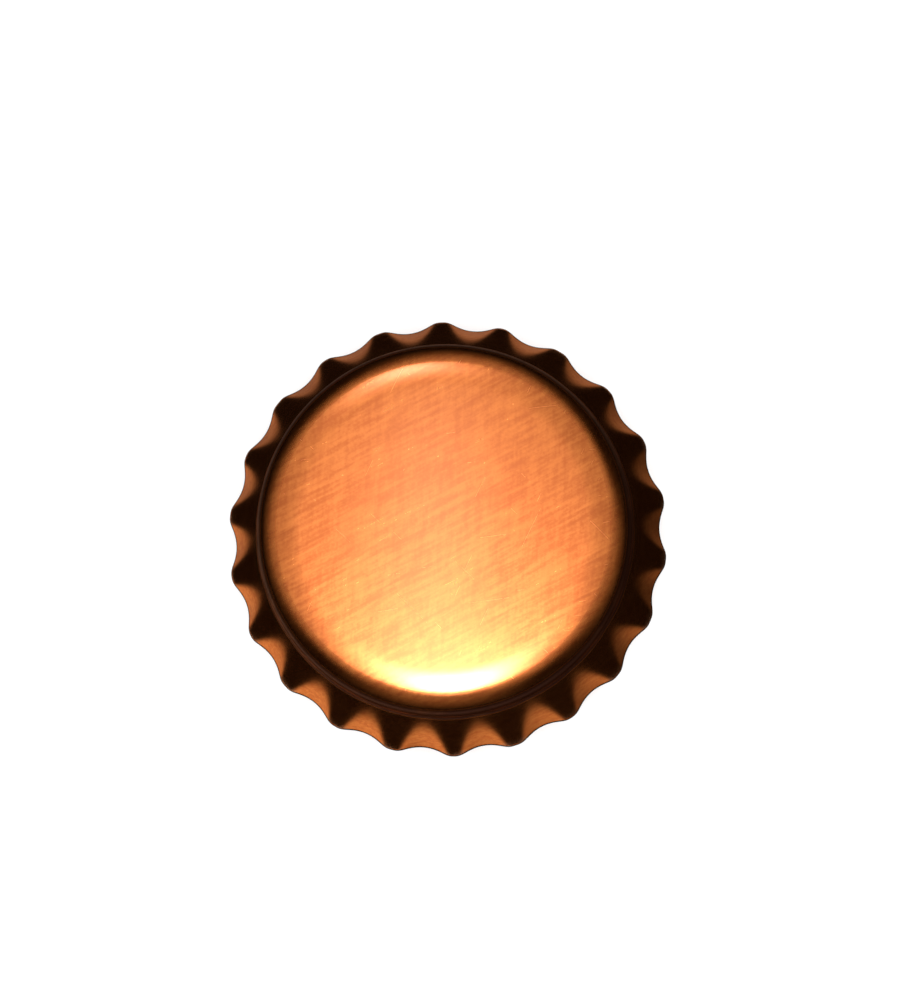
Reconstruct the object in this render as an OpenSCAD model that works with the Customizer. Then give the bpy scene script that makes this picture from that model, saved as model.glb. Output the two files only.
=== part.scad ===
// Crown bottle cap, before it is crimped onto a bottle: a fluted tinplate shell
// with a moulded sealing liner seated inside its panel.
// The cap stands on its cut edge at z = 0, with the panel at the top.

/* [Shell] */
// Outside diameter over the flute tips
tip_d = 32.1; // [30.5:0.1:40]
// Height from the cut edge to the top of the panel
cap_h = 6; // [5:0.1:8]
// Thickness of the tinplate sheet
sheet_t = 0.235; // [0.18:0.005:0.3]
// Inside diameter of the throat, which passes over the bottle's lip
throat_d = 26.75; // [22:0.05:28]
// Outside radius of the rounded shoulder
shoulder_r = 1.8; // [1.4:0.05:2.2]
// Height of the plain throat band under the shoulder
throat_band = 0.4; // [0.3:0.05:0.8]
// Outside radius of the bend from the throat into the skirt
bend_r = 0.6; // [0.4:0.05:0.8]

/* [Flutes] */
// Number of flutes pressed round the skirt
flute_count = 22; // [18:1:26]
// Depth of a flute at the cut edge, from the tips
flute_depth = 0.6; // [0.4:0.05:0.75]
// Width of the tip that stands between two flutes at the cut edge
tip_w = 0.66; // [0.4:0.02:1]

/* [Liner] */
// How far the middle of the sealing bead lies outside the flat of the panel
bead_out = 0.55; // [0.3:0.05:0.7]
// Radius of the outer sealing bead's section
bead_r = 0.45; // [0.35:0.01:0.5]
// Height of the sealing bead below the land
bead_drop = 0.36; // [0.2:0.01:0.4]
// Thickness of the flat land that seals on the bottle's lip
land_t = 0.75; // [0.6:0.01:0.9]
// Width of that land, from the web to the middle of the sealing bead
land_w = 3.05; // [2:0.05:4]
// Thickness of the web
web_t = 0.28; // [0.2:0.01:0.4]
// Width of the rib where the web meets the land
rib_w = 0.7; // [0.4:0.05:1]
// Height of that rib below the land
rib_drop = 0.25; // [0.1:0.01:0.35]
// Clearance between the liner and the inside of the shoulder
liner_gap = 0.03; // [0.02:0.005:0.06]

/* [Hidden] */
$fn = 96;
cut = 0.1;
tip_r = tip_d / 2;
throat_ir = throat_d / 2;
throat_or = throat_ir + sheet_t;
panel_r = throat_or - shoulder_r;
shoulder_z = cap_h - shoulder_r;
panel_under = cap_h - sheet_t;

// The bend's centre lies outside the throat; the skirt runs from it, tangent, to the tips.
bend_x = throat_or + bend_r;
bend_z = shoulder_z - throat_band;
skirt_angle = atan((tip_r - bend_x) / bend_z) + asin(bend_r / norm([tip_r - bend_x, bend_z]));

// A flute's floor runs straight from the cut edge to the foot of the throat.
floor_r = tip_r - flute_depth;
floor_angle = atan((floor_r - throat_or) / bend_z);
floor_len = (bend_z - bend_r / 2) / cos(floor_angle);

// The hollow across a flute is a cylinder through the corners of the tips on both sides.
flute_step = 360 / flute_count;
tip_half = asin(tip_w / 2 / tip_r);
corner = tip_r * [cos(flute_step / 2 - tip_half), sin(flute_step / 2 - tip_half)];
corner_rise = (corner.x - floor_r) * cos(floor_angle);
flute_r = (corner_rise * corner_rise + corner.y * corner.y) / (2 * corner_rise);
cutter_half_w = corner.y + tip_w / 4;
cutter_depth = flute_depth + 2 * cut;
cutter_low = cutter_depth * tan(floor_angle) + 2 * cut;

bead_x = panel_r + bead_out;
land_z = panel_under - land_t;
web_r = bead_x - land_w;

// Half section of the solid cup whose surface lies `inset` inside the outer one.
module cup_section(inset, low) {
    bend = bend_r + inset;
    bend_low = [bend_x - bend * cos(skirt_angle), bend_z - bend * sin(skirt_angle)];
    low_x = bend_low.x + (bend_low.y - low) * tan(skirt_angle);
    square([panel_r, cap_h - inset]);
    translate([panel_r, shoulder_z])
        intersection() {
            circle(r = shoulder_r - inset);
            square(shoulder_r);
        }
    translate([0, bend_z]) square([throat_or - inset, throat_band]);
    difference() {
        polygon([[0, bend_low.y], bend_low, [bend_x, bend_z], [0, bend_z]]);
        translate([bend_x, bend_z]) circle(r = bend);
    }
    polygon([[0, low], [low_x, low], bend_low, [0, bend_low.y]]);
}

// Segments of slanted cylinders, whose round sides are the flute floors.
module flute_cutters(inset) {
    for (i = [0 : flute_count - 1])
        rotate([0, 0, (i + 0.5) * flute_step])
            translate([floor_r, 0, 0])
                rotate([0, -floor_angle, 0])
                    translate([flute_r, 0, -cutter_low])
                        linear_extrude(floor_len + cutter_low)
                            flute_cutter_section(inset);
}

module flute_cutter_section(inset) {
    intersection() {
        circle(r = flute_r + inset);
        translate([-flute_r - inset - cut, -cutter_half_w])
            square([cutter_depth + inset + cut, 2 * cutter_half_w]);
    }
}

module fluted_cup(inset, low) {
    difference() {
        rotate_extrude() cup_section(inset, low);
        flute_cutters(inset);
    }
}

module shell() {
    color([0.86, 0.5, 0.24])
        difference() {
            fluted_cup(0, 0);
            fluted_cup(sheet_t, -cut);
        }
}

// Half section of the space that the panel, shoulder and throat leave for the liner.
module liner_room() {
    square([panel_r, panel_under]);
    square([throat_ir - liner_gap, shoulder_z]);
    translate([panel_r, shoulder_z])
        intersection() {
            circle(r = shoulder_r - sheet_t - liner_gap);
            square(shoulder_r);
        }
}

module liner_section() {
    translate([0, panel_under - web_t]) square([web_r, web_t]);
    translate([web_r, land_z - rib_drop]) square([rib_w, rib_drop]);
    intersection() {
        union() {
            translate([web_r, land_z]) square([land_w, land_t]);
            translate([bead_x, land_z - bead_drop + bead_r]) circle(r = bead_r);
        }
        liner_room();
    }
}

module liner() {
    color([0.82, 0.84, 0.82])
        rotate_extrude() liner_section();
}

shell();
liner();
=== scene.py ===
import math
import bpy
from mathutils import Matrix, Vector


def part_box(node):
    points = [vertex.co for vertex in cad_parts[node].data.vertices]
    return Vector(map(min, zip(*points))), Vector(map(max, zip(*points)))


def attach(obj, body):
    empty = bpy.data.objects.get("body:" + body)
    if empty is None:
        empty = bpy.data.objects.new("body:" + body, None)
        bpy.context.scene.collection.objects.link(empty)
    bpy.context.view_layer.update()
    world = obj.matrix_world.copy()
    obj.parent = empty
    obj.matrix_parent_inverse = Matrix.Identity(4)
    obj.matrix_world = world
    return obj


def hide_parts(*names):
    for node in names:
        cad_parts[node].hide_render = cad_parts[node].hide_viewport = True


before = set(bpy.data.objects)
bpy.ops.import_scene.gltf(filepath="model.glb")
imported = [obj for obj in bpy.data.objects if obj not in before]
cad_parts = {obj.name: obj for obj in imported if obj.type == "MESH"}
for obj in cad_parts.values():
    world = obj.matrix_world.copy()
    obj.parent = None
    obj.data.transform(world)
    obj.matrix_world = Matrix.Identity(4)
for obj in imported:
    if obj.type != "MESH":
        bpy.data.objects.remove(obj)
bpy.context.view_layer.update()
mm = 0.001
print("frame loaded:", sorted(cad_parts))


# A socket that takes part in arithmetic: each operation adds one Math node.
class Wire:
    def __init__(self, bench, socket):
        self.bench = bench
        self.socket = socket

    def math(self, operation, *others):
        values = dict(enumerate([self, *others]))
        return self.bench.node("ShaderNodeMath", {"operation": operation}, values)

    def __add__(self, other):
        return self.math("ADD", other)

    def __radd__(self, other):
        return self.math("ADD", other)

    def __sub__(self, other):
        return self.math("SUBTRACT", other)

    def __rsub__(self, other):
        return self.bench.node("ShaderNodeMath", {"operation": "SUBTRACT"}, {0: other, 1: self})

    def __mul__(self, other):
        return self.math("MULTIPLY", other)

    def __rmul__(self, other):
        return self.math("MULTIPLY", other)

    def __truediv__(self, other):
        return self.math("DIVIDE", other)

    def __rtruediv__(self, other):
        return self.bench.node("ShaderNodeMath", {"operation": "DIVIDE"}, {0: other, 1: self})

    # 0 below low, 1 above high, eased between
    def ease(self, low, high):
        settings = {"interpolation_type": "SMOOTHSTEP"}
        return self.bench.node("ShaderNodeMapRange", settings, {0: self, 1: low, 2: high, 3: 0.0, 4: 1.0})


# A node tree under construction, for shaders and for Geometry Nodes.
class Bench:
    def __init__(self, tree):
        self.tree = tree

    def node(self, kind, settings=None, sockets=None, output=0):
        made = self.tree.nodes.new(kind)
        for name, value in (settings or {}).items():
            setattr(made, name, value)
        for key, value in (sockets or {}).items():
            if isinstance(value, Wire):
                self.tree.links.new(value.socket, made.inputs[key])
            else:
                made.inputs[key].default_value = value
        return Wire(self, made.outputs[output]) if made.outputs else made

    # another output of the node that a wire comes from
    def other(self, wire, output):
        return Wire(self, wire.socket.node.outputs[output])

    def vector(self, operation, *values):
        return self.node("ShaderNodeVectorMath", {"operation": operation}, dict(enumerate(values)))

    def blend(self, factor, first, second):
        return self.node("ShaderNodeMix", {"data_type": "RGBA"}, {0: factor, 6: first, 7: second}, output=2)


# The cap's sizes, the same values as the frame's own construction unless a note says otherwise.
cap = {
    "sheet": 0.235 * mm,
    "throatRadius": 13.375 * mm,
    "shoulderRadius": 1.8 * mm,
    "throatBand": 0.4 * mm,
    "bendRadius": 0.6 * mm,
    "flutes": 22,
    "fluteDepth": 0.57 * mm,  # a little less than the frame's, because the crests are rounded
    "crestWidth": 1.08 * mm,  # the crest between two flutes, before it is rounded
    "panelFlat": 10.3 * mm,  # the panel is flat to here, then falls gently to the shoulder
    "panelFall": 6.0,  # degrees of slope where it meets the shoulder
    "edgeRound": 0.045 * mm,  # rounding of the cut edge
    "columnsPerFlute": 28,
    "crestRound": 0.42 * mm,  # how far the hollows on both sides blend over a crest
    "floorBow": 0.04 * mm,  # how far the floor of a flute bulges outwards, halfway down
    "fluteDrift": 0.35,  # degrees a flute may stand off its place
    "depthDrift": 0.05,  # share by which a flute's depth may vary
    "seed": 7,
}

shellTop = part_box("shell")[1]
tipRadius = shellTop.x
capHeight = shellTop.z
throatOuter = cap["throatRadius"] + cap["sheet"]
panelRadius = throatOuter - cap["shoulderRadius"]
shoulderZ = capHeight - cap["shoulderRadius"]
bendZ = shoulderZ - cap["throatBand"]
bendX = throatOuter + cap["bendRadius"]
bendReach = math.hypot(tipRadius - bendX, bendZ)
skirtAngle = math.atan((tipRadius - bendX) / bendZ) + math.asin(cap["bendRadius"] / bendReach)
floorRadius = tipRadius - cap["fluteDepth"]
floorSlope = (floorRadius - throatOuter) / bendZ
floorCos = math.cos(math.atan(floorSlope))
fluteStep = math.tau / cap["flutes"]
cornerAngle = fluteStep / 2 - math.asin(cap["crestWidth"] / 2 / tipRadius)
cornerRise = (tipRadius * math.cos(cornerAngle) - floorRadius) * floorCos
cornerSide = tipRadius * math.sin(cornerAngle)
fluteRadius = (cornerRise ** 2 + cornerSide ** 2) / (2 * cornerRise)


def spread(start, end, steps):
    return [start + (end - start) * i / steps for i in range(1, steps + 1)]


def arc(centre, radius, start, end, steps):
    angles = [math.radians(a) for a in spread(start, end, steps)]
    return [(centre[0] + radius * math.cos(a), centre[1] + radius * math.sin(a)) for a in angles]


# One face of the sheet, from the axis to just above the cut edge, as (radius, height).
def sheetFace(inset):
    top = capHeight - inset
    points = [(0.0, top)] + [(r, top) for r in spread(0.0, cap["panelFlat"], 8)]
    fall = math.radians(cap["panelFall"])
    edge = panelRadius + (cap["shoulderRadius"] - inset) * math.sin(fall)
    width = edge - cap["panelFlat"]
    drop = math.tan(fall) / 2 / width
    points += [(cap["panelFlat"] + w, top - drop * w * w) for w in spread(0.0, width, 9)]
    arcZ = points[-1][1] - (cap["shoulderRadius"] - inset) * math.cos(fall)
    points += arc((panelRadius, arcZ), cap["shoulderRadius"] - inset, 90 - cap["panelFall"], 0, 18)
    points += [(throatOuter - inset, z) for z in spread(arcZ, bendZ, 3)]
    points += arc((bendX, bendZ), cap["bendRadius"] + inset, 180, 180 + math.degrees(skirtAngle), 7)
    bendEnd = points[-1]
    low = cap["edgeRound"]
    for z in spread(bendEnd[1], low, 22):
        points.append((bendEnd[0] + (bendEnd[1] - z) * math.tan(skirtAngle), z))
    return points


edgeShares = (0.06, 0.2, 0.5, 0.8, 0.94)  # rows across the cut edge; the first two and last two round it
edgeRows = len(edgeShares)


# The closed half section of the sheet; the middle number is how deep in the sheet a point lies.
def shellSection():
    outer, inner = sheetFace(0.0), sheetFace(cap["sheet"])
    rows = [(r, 0.0, z) for r, z in outer]
    start, end = outer[-1][0], inner[-1][0]
    for share in edgeShares:
        rise = cap["edgeRound"] * max(0.0, 1 - min(share, 1 - share) / edgeShares[1]) ** 2
        rows.append((start + (end - start) * share, cap["sheet"] * share, rise))
    rows += [(r, cap["sheet"], z) for r, z in reversed(inner)]
    return rows, len(outer)


def pointChain(name, rows):
    mesh = bpy.data.meshes.new(name)
    mesh.from_pydata(rows, [(i, i + 1) for i in range(len(rows) - 1)], [])
    chain = bpy.data.objects.new(name, mesh)
    bpy.context.scene.collection.objects.link(chain)
    return chain


# How far from the axis the hollow of one flute lies, at this angle, height and depth in the sheet.
def fluteFloor(bench, inputs, index, turn, radius, height, inset):
    wrapped = index.math("FLOORED_MODULO", inputs["Flutes"])

    def chance(middle, reach, seed):
        sockets = {2: middle - reach, 3: middle + reach, 7: wrapped, 8: seed}
        return bench.node("FunctionNodeRandomValue", {"data_type": "FLOAT"}, sockets, output=1)

    drift = chance(0.0, math.radians(cap["fluteDrift"]), inputs["Seed"])
    depth = inputs["Flute depth"] * chance(1.0, cap["depthDrift"], inputs["Seed"] + 1.0)
    across = turn - (index + 0.5) * inputs["Step"] - drift
    side = radius * across.math("SINE")
    hollow = fluteRadius + inset
    rise = (hollow - (hollow * hollow - side * side).math("MAXIMUM", 0.0).math("SQRT")) / floorCos
    below = bendZ - height
    slope = (tipRadius - throatOuter - depth) / bendZ
    share = (below / bendZ).math("MAXIMUM", 0.0).math("MINIMUM", 1.0)
    bow = share * (1 - share) * (4 * cap["floorBow"])
    line = throatOuter + slope * below.math("ABSOLUTE") + bow - inset / floorCos
    return (line + rise) / across.math("COSINE")


# A grid whose columns stand round the axis and whose rows follow the half section.
def turnedGrid(bench, inputs, rowCount):
    section = bench.node("GeometryNodeObjectInfo", {}, {0: inputs["Section"]}, output=4)
    grid = bench.node("GeometryNodeMeshGrid", {}, {2: inputs["Columns"] + 1.0, 3: rowCount})
    order = bench.node("GeometryNodeInputIndex")
    row = order.math("FLOORED_MODULO", float(rowCount))
    column = ((order - row) / float(rowCount)).math("ROUND")
    place = bench.node("GeometryNodeInputPosition")
    settings = {"data_type": "FLOAT_VECTOR"}
    sample = bench.node("GeometryNodeSampleIndex", settings, {0: section, 1: place, 2: row})
    radius = bench.node("ShaderNodeSeparateXYZ", {}, {0: sample})
    turn = column / inputs["Columns"] * math.tau
    return grid, row, turn, radius, bench.other(radius, 1), bench.other(radius, 2)


mergeReach = 0.0005 * mm


# Moves the grid to its place round the axis and closes its seam and its poles.
def closeRound(bench, grid, turn, radius, height):
    x, y = radius * turn.math("COSINE"), radius * turn.math("SINE")
    spot = bench.node("ShaderNodeCombineXYZ", {}, {0: x, 1: y, 2: height})
    placed = bench.node("GeometryNodeSetPosition", {}, {0: grid, 2: spot})
    closed = bench.node("GeometryNodeMergeByDistance", {}, {0: placed, 2: mergeReach})
    return bench.node("GeometryNodeRealizeInstances", {}, {0: closed})


def storeNumber(bench, geometry, name, value):
    settings = {"data_type": "FLOAT", "domain": "POINT"}
    return bench.node("GeometryNodeStoreNamedAttribute", settings, {0: geometry, 2: name, 3: value})


def shellTree(materials, rows, outerRows):
    tree = bpy.data.node_groups.new("fluted cap", "GeometryNodeTree")
    face = tree.interface
    face.new_socket("Section", in_out="INPUT", socket_type="NodeSocketObject")
    face.new_socket("Flutes", in_out="INPUT", socket_type="NodeSocketInt")
    face.new_socket("Flute depth", in_out="INPUT", socket_type="NodeSocketFloat")
    face.new_socket("Crest round", in_out="INPUT", socket_type="NodeSocketFloat")
    face.new_socket("Columns", in_out="INPUT", socket_type="NodeSocketInt")
    face.new_socket("Seed", in_out="INPUT", socket_type="NodeSocketInt")
    face.new_socket("Geometry", in_out="OUTPUT", socket_type="NodeSocketGeometry")
    bench = Bench(tree)
    entry = bench.node("NodeGroupInput")
    inputs = {s.name: Wire(bench, s) for s in entry.socket.node.outputs if s.name}

    grid, row, turn, radius, inset, height = turnedGrid(bench, inputs, len(rows))

    # the flutes on both sides of the nearest tip, so that the crest between them is rounded from both
    inputs["Step"] = math.tau / inputs["Flutes"]
    tip = (turn / inputs["Step"] + 0.5).math("FLOOR")
    fluted = radius
    for side in (-1.0, 0.0):
        floor = fluteFloor(bench, inputs, tip + side, turn, radius, height, inset)
        fluted = fluted.math("SMOOTH_MIN", floor, inputs["Crest round"])
    isSkirt = height.math("LESS_THAN", shoulderZ) * radius.math("GREATER_THAN", panelRadius)
    final = radius + (fluted - radius) * isSkirt
    grid = storeNumber(bench, grid, "sheetRow", row)
    flipped = bench.node("GeometryNodeFlipFaces", {}, {0: grid})  # the section runs from the outside in
    realized = closeRound(bench, flipped, turn, final, height)
    rowHere = bench.node("GeometryNodeInputNamedAttribute", {"data_type": "FLOAT"}, {0: "sheetRow"})
    outside = rowHere.math("LESS_THAN", outerRows - 1.0)
    inside = rowHere.math("GREATER_THAN", outerRows + edgeRows - 1.0)
    painted = bench.node("GeometryNodeSetMaterial", {}, {0: realized, 2: materials["edge"]})
    painted = bench.node("GeometryNodeSetMaterial", {}, {0: painted, 1: outside, 2: materials["lacquer"]})
    painted = bench.node("GeometryNodeSetMaterial", {}, {0: painted, 1: inside, 2: materials["inside"]})
    bench.node("NodeGroupOutput", {}, {0: painted})
    return tree


# Runs a tree on an empty mesh and keeps the result as a plain mesh.
def growPiece(name, tree, values):
    holder = bpy.data.objects.new(name + "Holder", bpy.data.meshes.new(name + "Holder"))
    bpy.context.scene.collection.objects.link(holder)
    modifier = holder.modifiers.new("grow", "NODES")
    modifier.node_group = tree
    for item in tree.interface.items_tree:
        if item.in_out == "INPUT" and item.name in values:
            modifier[item.identifier] = values[item.name]
    bpy.context.view_layer.update()
    mesh = bpy.data.meshes.new_from_object(holder.evaluated_get(bpy.context.evaluated_depsgraph_get()))
    holder.modifiers.remove(modifier)
    bpy.data.objects.remove(holder)
    mesh.name = name
    mesh.shade_smooth()
    piece = bpy.data.objects.new(name, mesh)
    bpy.context.scene.collection.objects.link(piece)
    return piece


def newMaterial(name):
    material = bpy.data.materials.new(name)
    material.use_nodes = True
    material.node_tree.nodes.clear()
    return material, Bench(material.node_tree)


def finishMaterial(bench, shader):
    bench.node("ShaderNodeOutputMaterial", {}, {0: shader})


lacquer = {
    "deep": (0.78, 0.180, 0.034, 1.0),
    "bright": (0.98, 0.275, 0.056, 1.0),
    # painted shade: the dark colour laid on the neck under the shoulder
    "shadedDullNeck": (0.12, 0.034, 0.016, 1.0),
    "rubbed": (0.74, 0.46, 0.30, 1.0),
    "edgeOn": (1.0, 0.74, 0.58, 1.0),  # its colour at a glancing angle
    "panelRoughness": 0.25,
    "panelMetal": 0.7,  # the rest is pigment in the lacquer, thinned out where the sheet is drawn
    "drawnRoughness": 0.15,  # where the die has burnished the sheet
    "coat": 0.85,
    "drawnCoat": 0.10,
    "coatRoughness": 0.18,
    "bumpStrength": 0.09,
    "bumpHeight": 0.004 * mm,
    "grainAngle": 34.0,
    # each layer of grain: degrees off the grain, waves per millimetre across it, stretch along it, detail
    "fine": (0.0, 3.2, 9.0, 3.0),
    "cross": (60.0, 2.6, 6.0, 2.0),
    "broad": (0.0, 0.7, 4.0, 2.0),
    "speck": (0.0, 5.0, 1.0, 2.0),
    "hairs": ((-72.0, 7.0, 44.0, 1.0), (37.0, 7.0, 44.0, 1.0), (-20.0, 7.0, 44.0, 1.0)),
    "hairLevel": (0.23, 0.30),  # noise above this is a hairline scratch
    # how strongly fine, cross, broad and speck grain show in each
    "toneMix": (1.8, 0.9, 0.6, 0.9),
    "roughMix": (0.08, 0.04, 0.06, 0.0),
    "reliefMix": (1.0, 0.5, 0.0, 0.15),
    "rubMix": (0.0, 0.0, 1.5, 1.5),
    "drawnFrom": (0.1 * mm, 1.0 * mm),  # where the sheet is drawn, outwards from the flat of the panel
    "drawnSmooth": 0.7,  # how much less the roughness varies there
    "neckFrom": (1.3 * mm, 1.5 * mm),  # the painted shade's start on the neck, outwards from the flat of the panel
    "neckTo": (0.75, 0.50),  # its lower end, in bend radii below the throat band
    "rubFrom": (0.5 * mm, 0.05 * mm),  # the rubbed zone's start and end, inwards from the tips
    "rubLevel": (0.3, 0.7),
    "shadedDullNeckMottle": 0.5,
    # how much each kind of wear, and the painted shade on the neck, colours the lacquer and adds to its
    # roughness
    "rubWear": (0.6, 0.12),
    "scratchWear": (0.08, 0.05),
    "shadedDullNeckMix": (1.0, 0.25),
}


# Rolling grain: noise drawn out along one direction, from minus to plus a half.
def grain(bench, place, layer):
    angle, across, stretch, detail = layer
    turn = (0, 0, -math.radians(lacquer["grainAngle"] + angle))
    turned = bench.node("ShaderNodeMapping", {}, {0: place, 2: turn, 3: (1 / mm, 1 / mm, 1 / mm)})
    drawn = bench.vector("MULTIPLY", turned, (1 / stretch, 1.0, 1.0))
    sockets = {"Vector": drawn, "Scale": across, "Detail": detail, "Roughness": 0.6}
    return bench.node("ShaderNodeTexNoise", {}, sockets) - 0.5


# Layers added up, each with its own weight.
def mixed(layers, weights):
    return sum((layer * weight for layer, weight in zip(layers, weights) if weight), 0.0)


def lacquerMaterial():
    material, bench = newMaterial("copperGoldLacquer")
    place = bench.node("ShaderNodeTexCoord", {}, {}, output=3)
    layers = [grain(bench, place, lacquer[layer]) for layer in ("fine", "cross", "broad", "speck")]
    broad = layers[2]
    flat = bench.vector("MULTIPLY", place, (1, 1, 0))
    radius = bench.other(bench.vector("LENGTH", flat), 1)
    height = bench.node("ShaderNodeSeparateXYZ", {}, {0: place}, output=2)
    drawn = radius.ease(*(panelRadius + reach for reach in lacquer["drawnFrom"]))

    # hairline scratches, and lacquer rubbed thin on the tips of the flutes
    hairs = [grain(bench, place, layer) for layer in lacquer["hairs"]]
    scratch = hairs[0].math("MAXIMUM", hairs[1]).math("MAXIMUM", hairs[2]).ease(*lacquer["hairLevel"])
    atTips = radius.ease(*(tipRadius - reach for reach in lacquer["rubFrom"]))
    rubbed = atTips * (0.5 + mixed(layers, lacquer["rubMix"])).ease(*lacquer["rubLevel"])

    # painted shade: the neck under the shoulder is darkened in colour where the dark ring falls, and made a
    # little rougher
    neck = radius.ease(*(panelRadius + reach for reach in lacquer["neckFrom"]))
    neck = neck * (1 - radius.ease(bendX - 0.5 * mm, bendX))
    neck = neck * height.ease(*(bendZ - cap["bendRadius"] * share for share in lacquer["neckTo"]))
    shadedDullNeck = (neck * (1.0 + broad * lacquer["shadedDullNeckMottle"])).math("MINIMUM", 1.0)

    rubColour, rubRough = lacquer["rubWear"]
    scratchColour, scratchRough = lacquer["scratchWear"]
    neckShadeShare, dullRough = lacquer["shadedDullNeckMix"]
    tone = 0.5 + mixed(layers, lacquer["toneMix"])
    colour = bench.blend(tone.ease(0.0, 1.0), lacquer["deep"], lacquer["bright"])
    # painted shade darkens the neck under the shoulder
    colour = bench.blend(shadedDullNeck * neckShadeShare, colour, lacquer["shadedDullNeck"])
    colour = bench.blend(rubbed * rubColour + scratch * scratchColour, colour, lacquer["rubbed"])
    rough = lacquer["panelRoughness"] + drawn * (lacquer["drawnRoughness"] - lacquer["panelRoughness"])
    rough = rough + mixed(layers, lacquer["roughMix"]) * (1 - drawn * lacquer["drawnSmooth"])
    rough = rough + shadedDullNeck * dullRough + scratch * scratchRough + rubbed * rubRough
    relief = {
        "Strength": lacquer["bumpStrength"],
        "Distance": lacquer["bumpHeight"],
        "Height": mixed(layers, lacquer["reliefMix"]),
    }
    bump = bench.node("ShaderNodeBump", {}, relief)
    shader = bench.node(
        "ShaderNodeBsdfPrincipled",
        {},
        {
            "Base Color": colour,
            "Metallic": lacquer["panelMetal"] + drawn * (1 - lacquer["panelMetal"]),
            "Specular Tint": lacquer["edgeOn"],
            "Roughness": rough,
            "Normal": bump,
            "Coat Weight": lacquer["coat"] + drawn * (lacquer["drawnCoat"] - lacquer["coat"]),
            "Coat Roughness": lacquer["coatRoughness"],
        },
    )
    finishMaterial(bench, shader)
    return material


varnish = {
    "deep": (0.62, 0.50, 0.28, 1.0),
    "pale": (0.80, 0.68, 0.44, 1.0),
    "roughness": 0.28,
    "mottle": (0.0, 0.6, 1.0, 4.0),
    "fine": (0.0, 3.2, 9.0, 3.0),
    "scuff": (70.0, 4.0, 24.0, 1.0),
    "scuffLevel": (0.18, 0.26),
    # how strongly mottle, fine grain and scuffs show in each
    "toneMix": (1.4, 1.0, 0.0),
    "roughMix": (0.2, 0.12, 0.12),
    "reliefMix": (1.0, 1.0, 0.0),
    "bumpStrength": 0.1,
    "bumpHeight": 0.004 * mm,
}


# The inside of the sheet: pale gold varnish over bright tin, with the rolling grain showing through.
def insideMaterial():
    material, bench = newMaterial("insideTinGold")
    place = bench.node("ShaderNodeTexCoord", {}, {}, output=3)
    mottle = grain(bench, place, varnish["mottle"])
    fine = grain(bench, place, varnish["fine"])
    scuff = grain(bench, place, varnish["scuff"]).ease(*varnish["scuffLevel"])
    layers = (mottle, fine, scuff)
    tone = (0.5 + mixed(layers, varnish["toneMix"])).ease(0.0, 1.0)
    colour = bench.blend(tone, varnish["deep"], varnish["pale"])
    rough = varnish["roughness"] + mixed(layers, varnish["roughMix"])
    heights = mixed(layers, varnish["reliefMix"])
    relief = {"Strength": varnish["bumpStrength"], "Distance": varnish["bumpHeight"], "Height": heights}
    bump = bench.node("ShaderNodeBump", {}, relief)
    sockets = {"Base Color": colour, "Metallic": 1.0, "Roughness": rough, "Normal": bump}
    finishMaterial(bench, bench.node("ShaderNodeBsdfPrincipled", {}, sockets))
    return material


cutEdge = {
    "dark": (0.32, 0.29, 0.27, 1.0),
    "bright": (0.62, 0.58, 0.55, 1.0),
    "tarnish": (0.30, 0.14, 0.07, 1.0),
    "roughness": 0.45,
    "bite": (-34.0, 6.0, 1.0, 3.0),
    "spots": (-34.0, 0.5, 1.0, 3.0),
    "spotLevel": (0.02, 0.16),
    # how strongly bite and tarnish show in each
    "toneMix": (2.0, 0.0),
    "roughMix": (0.3, 0.2),
    "tarnishShare": 0.7,
    "bumpStrength": 0.3,
    "bumpHeight": 0.01 * mm,
}


# The cut edge: bare steel, torn a little by the blanking die and tarnished in places.
def edgeMaterial():
    material, bench = newMaterial("cutSteelEdge")
    place = bench.node("ShaderNodeTexCoord", {}, {}, output=3)
    bite = grain(bench, place, cutEdge["bite"])
    tarnish = grain(bench, place, cutEdge["spots"]).ease(*cutEdge["spotLevel"])
    tone = (0.5 + mixed((bite, tarnish), cutEdge["toneMix"])).ease(0.0, 1.0)
    colour = bench.blend(tone, cutEdge["dark"], cutEdge["bright"])
    colour = bench.blend(tarnish * cutEdge["tarnishShare"], colour, cutEdge["tarnish"])
    relief = {"Strength": cutEdge["bumpStrength"], "Distance": cutEdge["bumpHeight"], "Height": bite}
    bump = bench.node("ShaderNodeBump", {}, relief)
    rough = cutEdge["roughness"] + mixed((bite, tarnish), cutEdge["roughMix"])
    sockets = {"Base Color": colour, "Metallic": 1.0, "Roughness": rough, "Normal": bump}
    finishMaterial(bench, bench.node("ShaderNodeBsdfPrincipled", {}, sockets))
    return material


rows, outerRows = shellSection()
materials = {"lacquer": lacquerMaterial(), "inside": insideMaterial(), "edge": edgeMaterial()}
sectionChain = pointChain("shellSection", rows)
shell = growPiece(
    "fluted_shell",
    shellTree(materials, rows, outerRows),
    {
        "Section": sectionChain,
        "Flutes": cap["flutes"],
        "Flute depth": cap["fluteDepth"],
        "Crest round": cap["crestRound"],
        "Columns": cap["flutes"] * cap["columnsPerFlute"],
        "Seed": cap["seed"],
    },
)
bpy.data.objects.remove(sectionChain)
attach(shell, "root")
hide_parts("shell")
print("shell:", len(shell.data.polygons), "faces")


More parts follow.
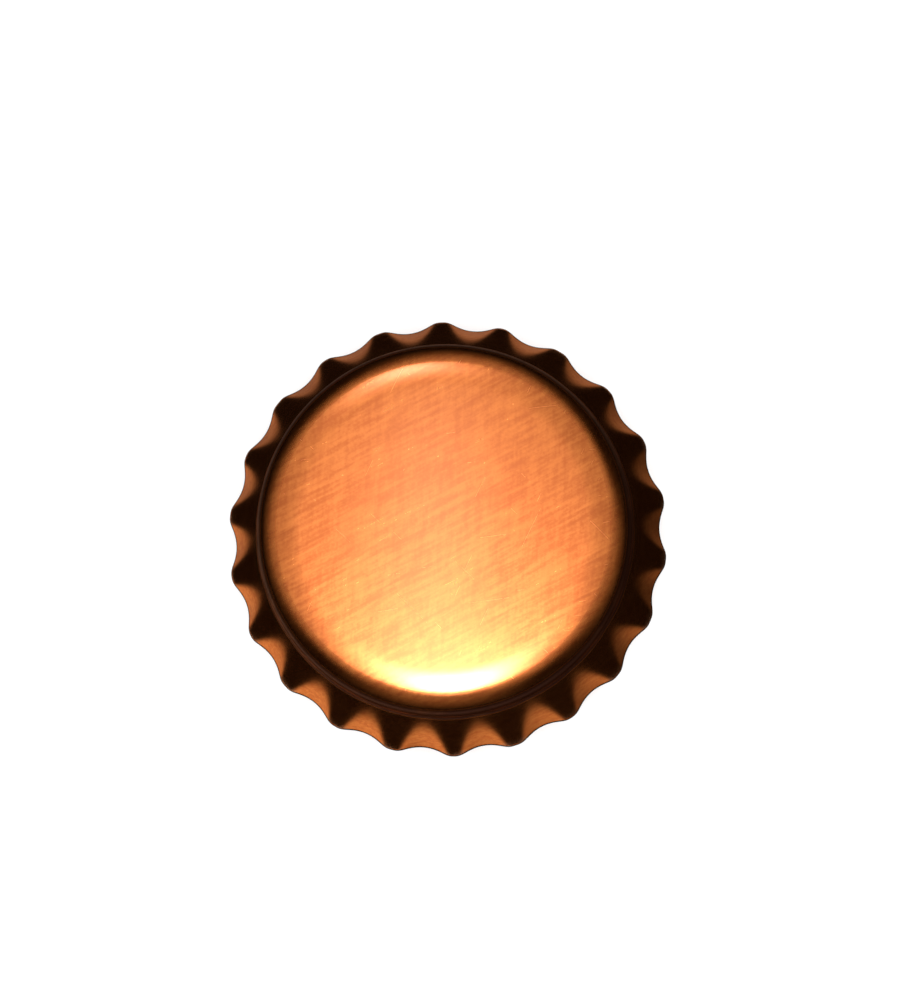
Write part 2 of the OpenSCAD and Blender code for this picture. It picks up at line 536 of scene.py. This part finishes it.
liner = {
    "gap": 0.03 * mm,
    "web": 0.28 * mm,
    "land": 0.75 * mm,
    "landWidth": 3.05 * mm,
    "ribWidth": 0.7 * mm,
    "ribDrop": 0.25 * mm,
    "beadOut": 0.55 * mm,
    "beadRadius": 0.45 * mm,
    "beadDrop": 0.36 * mm,
    "corner": 0.09 * mm,
    "rimGap": 0.05 * mm,  # least height from the bead's end to the shoulder's inside
    "columns": 256,
    "pale": (0.66, 0.70, 0.68, 1.0),
    "shade": (0.50, 0.55, 0.53, 1.0),
    "roughness": 0.42,
    "cloud": (0.5, 3.0),  # waves per millimetre, detail
    "fine": (9.0, 2.0),
    "ringTurns": 14.0,  # faint rings left by the punch, in radians of wave per millimetre
    "ringWander": 0.3,  # how far they wander, in millimetres
    # how strongly clouds, fine grain and rings show in each
    "toneMix": (1.2, 0.4, 0.0),
    "roughMix": (0.15, 0.2, 0.0),
    "reliefMix": (1.0, 1.0, 0.3),
    "bumpStrength": 0.3,
    "bumpHeight": 0.01 * mm,
}


# The liner's half section: web, rib, land and bead below, then the shell's own inside face above.
def linerSection():
    under = capHeight - cap["sheet"]
    landZ = under - liner["land"]
    webZ = under - liner["web"]
    ribZ = landZ - liner["ribDrop"]
    beadX = panelRadius + liner["beadOut"]
    ribIn = beadX - liner["landWidth"]
    ribOut = ribIn + liner["ribWidth"]
    small = liner["corner"]
    beadZ = landZ - liner["beadDrop"] + liner["beadRadius"]
    points = [(0.0, webZ)] + [(r, webZ) for r in spread(0.0, ribIn - small, 10)]
    points += arc((ribIn - small, webZ - small), small, 90, 0, 5)
    points += arc((ribIn + small, ribZ + small), small, 180, 270, 5)
    points += arc((ribOut - small, ribZ + small), small, 270, 360, 5)
    points += arc((ribOut + small, landZ - small), small, 180, 90, 5)
    beadStart = 180 + math.degrees(math.asin((beadZ - landZ) / liner["beadRadius"]))
    points += arc((beadX, beadZ), liner["beadRadius"], beadStart, 350, 18)
    roof = [p for p in sheetFace(cap["sheet"] + liner["gap"]) if p[1] > points[-1][1] + liner["rimGap"]]
    points += reversed(roof)
    return [(r, 0.0, z) for r, z in points]


def linerTree(material, rows):
    tree = bpy.data.node_groups.new("moulded liner", "GeometryNodeTree")
    tree.interface.new_socket("Section", in_out="INPUT", socket_type="NodeSocketObject")
    tree.interface.new_socket("Columns", in_out="INPUT", socket_type="NodeSocketInt")
    tree.interface.new_socket("Geometry", in_out="OUTPUT", socket_type="NodeSocketGeometry")
    bench = Bench(tree)
    entry = bench.node("NodeGroupInput")
    inputs = {s.name: Wire(bench, s) for s in entry.socket.node.outputs if s.name}
    grid, row, turn, radius, inset, height = turnedGrid(bench, inputs, len(rows))
    realized = closeRound(bench, grid, turn, radius, height)
    painted = bench.node("GeometryNodeSetMaterial", {}, {0: realized, 2: material})
    bench.node("NodeGroupOutput", {}, {0: painted})
    return tree


def linerMaterial():
    material, bench = newMaterial("mouldedLiner")
    place = bench.node("ShaderNodeTexCoord", {}, {}, output=3)
    scaled = bench.vector("MULTIPLY", place, (1 / mm, 1 / mm, 1 / mm))

    def noise(scale, detail):
        sockets = {"Vector": scaled, "Scale": scale, "Detail": detail}
        return bench.node("ShaderNodeTexNoise", {}, sockets) - 0.5

    cloud, fine = noise(*liner["cloud"]), noise(*liner["fine"])
    flat = bench.vector("MULTIPLY", scaled, (1, 1, 0))
    radius = bench.other(bench.vector("LENGTH", flat), 1)
    rings = ((radius + cloud * liner["ringWander"]) * liner["ringTurns"]).math("SINE")
    layers = (cloud, fine, rings)
    tone = (0.5 + mixed(layers, liner["toneMix"])).ease(0.0, 1.0)
    colour = bench.blend(tone, liner["shade"], liner["pale"])
    heights = mixed(layers, liner["reliefMix"])
    relief = {"Strength": liner["bumpStrength"], "Distance": liner["bumpHeight"], "Height": heights}
    bump = bench.node("ShaderNodeBump", {}, relief)
    rough = liner["roughness"] + mixed(layers, liner["roughMix"])
    sockets = {"Base Color": colour, "Roughness": rough, "Normal": bump}
    finishMaterial(bench, bench.node("ShaderNodeBsdfPrincipled", {}, sockets))
    return material


linerRows = linerSection()
sectionChain = pointChain("linerSection", linerRows)
linerPiece = growPiece(
    "moulded_liner",
    linerTree(linerMaterial(), linerRows),
    {"Section": sectionChain, "Columns": liner["columns"]},
)
bpy.data.objects.remove(sectionChain)
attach(linerPiece, "root")
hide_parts("liner")
print("liner:", len(linerPiece.data.polygons), "faces")

studio = {
    "viewHeight": 72.993 * mm,  # what the view takes in, top to bottom, at the cap
    "distance": 0.4,
    "floor": 6.0,
    "paper": (0.95, 0.95, 0.95, 1.0),
    "tilt": 9.25,
    "turn": 25.14,
    "roll": -18.9,
    "aim": (0.19 * mm, 2.79 * mm),  # where the view's middle lies from the cap's foot, across and up
    "overhead": 0.13,  # soft light straight above, as the metal mirrors it
    "fade": 1.2,  # how fast it falls off towards the horizon
    "horizon": 0.08,  # how far below the horizon it still reaches
    "fullAbove": 0.86,  # how far above the horizon it is full
    "windowCount": 4.0,
    "windowShare": 0.9,  # how much of it the windows and the walls between them change
    "windowTop": (0.72, 0.88),
    "dark": 0.006,  # the unlit room round the horizon
    "room": 0.95,  # even light on the floor and behind the cap
    "bounce": (0.06, 0.46, 0.58),  # light from below the horizon: all round, to front and back, to one side
    "bounceSide": 196.0,  # degrees round the view, from its right
    "bounceZone": (0.49, 0.63, 0.68, 0.76),  # how far below the horizon it starts, is full, ends
}

lights = {
    "keyPanel": {"spot": (-12.4, 22, 105), "size": (7, 46), "watts": 0.0034},
    "corePanel": {"spot": (-9, 2, 105), "size": (14, 20), "watts": 0.035},
    "frontPanel": {"spot": (-9, -18, 105), "size": (16, 36), "watts": 0.0036},
    "rimPanel": {"spot": (-29, 96, 150), "size": (16, 16), "watts": 0.012},
}


def placeCamera():
    data = bpy.data.cameras.new("camera")
    data.lens = data.sensor_width * studio["distance"] / studio["viewHeight"]
    data.clip_start = studio["distance"] / 40
    camera = bpy.data.objects.new("camera", data)
    turned = (
        Matrix.Rotation(math.radians(studio["turn"]), 4, "Z")
        @ Matrix.Rotation(math.radians(studio["tilt"]), 4, "X")
        @ Matrix.Rotation(math.radians(studio["roll"]), 4, "Z")
    )
    spot = turned @ Vector((*studio["aim"], studio["distance"]))
    camera.matrix_world = Matrix.Translation(spot) @ turned
    bpy.context.scene.collection.objects.link(camera)
    bpy.context.scene.camera = camera
    return turned


# A softbox aimed at the panel; its spot is across, up and out along the camera's own axes, in millimetres.
def softLight(name, turned, plan):
    data = bpy.data.lights.new(name, "AREA")
    data.shape = "ELLIPSE"
    data.size, data.size_y = (side * mm for side in plan["size"])
    data.energy = plan["watts"]
    light = bpy.data.objects.new(name, data)
    out = Vector(plan["spot"])
    aside = Vector((0, 1, 0)).cross(out).normalized()
    facing = Matrix((aside, out.normalized().cross(aside), out.normalized())).transposed()
    place = Matrix.Translation(turned @ out * mm + Vector((0, 0, capHeight)))
    light.matrix_world = place @ turned @ facing.to_4x4()
    bpy.context.scene.collection.objects.link(light)


def paleFloor():
    mesh = bpy.data.meshes.new("floor")
    half = studio["floor"] / 2
    corners = [(-half, -half, 0), (half, -half, 0), (half, half, 0), (-half, half, 0)]
    mesh.from_pydata(corners, [], [(0, 1, 2, 3)])
    floor = bpy.data.objects.new("floor", mesh)
    bpy.context.scene.collection.objects.link(floor)
    material, bench = newMaterial("palePaper")
    paper = {"Base Color": studio["paper"], "Roughness": 0.9}
    finishMaterial(bench, bench.node("ShaderNodeBsdfPrincipled", {}, paper))
    mesh.materials.append(material)
    floor.visible_glossy = False


# What polished metal mirrors: soft light above, a dark room round the horizon, bounce from below.
def studioWorld(turned):
    world = bpy.data.worlds.new("studio")
    bpy.context.scene.world = world
    world.use_nodes = True
    world.node_tree.nodes.clear()
    bench = Bench(world.node_tree)
    direction = bench.node("ShaderNodeTexCoord", {}, {}, output=0)

    def towards(axis):
        return bench.other(bench.vector("DOT_PRODUCT", direction, tuple(axis)), 1)

    view = turned.to_3x3()
    out = view @ Vector((0, 0, 1))
    sideAngle = math.radians(studio["bounceSide"])
    up = towards((0, 0, 1))
    low = towards((-out.x, -out.y, out.z))  # the cap's foot mirrors the bounce round this leaning axis
    along = towards(view @ Vector((0, 1, 0)))
    across = towards(view @ Vector((math.cos(sideAngle), math.sin(sideAngle), 0))).math("MAXIMUM", 0.0)
    allRound, frontBack, oneSide = studio["bounce"]
    start, full, fading, end = (-share for share in studio["bounceZone"])
    bounce = allRound + (along * along * frontBack + across * across * oneSide) / (1 - up * up)
    bounce = bounce * low.ease(start, full) * (1 - low.ease(fading, end))
    rise = (up + studio["horizon"]) / (studio["fullAbove"] + studio["horizon"])
    dome = rise.math("MAXIMUM", 0.0).math("MINIMUM", 1.0).math("POWER", studio["fade"])
    # bright windows between dark walls, which fade out towards the ceiling
    east = bench.node("ShaderNodeSeparateXYZ", {}, {0: direction})
    north = bench.other(east, 1)
    windows = (north.math("ARCTAN2", east) * studio["windowCount"]).math("COSINE") * studio["windowShare"]
    dome = dome * (1 + windows * (1 - up.ease(*studio["windowTop"])))
    tone = studio["dark"] + dome * studio["overhead"] + bounce
    mirrored = bench.node("ShaderNodeLightPath", {}, {}, output=3)  # 1 for what shiny surfaces mirror
    level = studio["room"] + (tone - studio["room"]) * mirrored
    shade = bench.node("ShaderNodeBackground", {}, {0: (1, 1, 1, 1), 1: level})
    bench.node("ShaderNodeOutputWorld", {}, {0: shade})


turned = placeCamera()
paleFloor()
studioWorld(turned)
for name, plan in lights.items():
    softLight(name, turned, plan)
bpy.context.scene.view_settings.view_transform = "Standard"
print("studio ready")
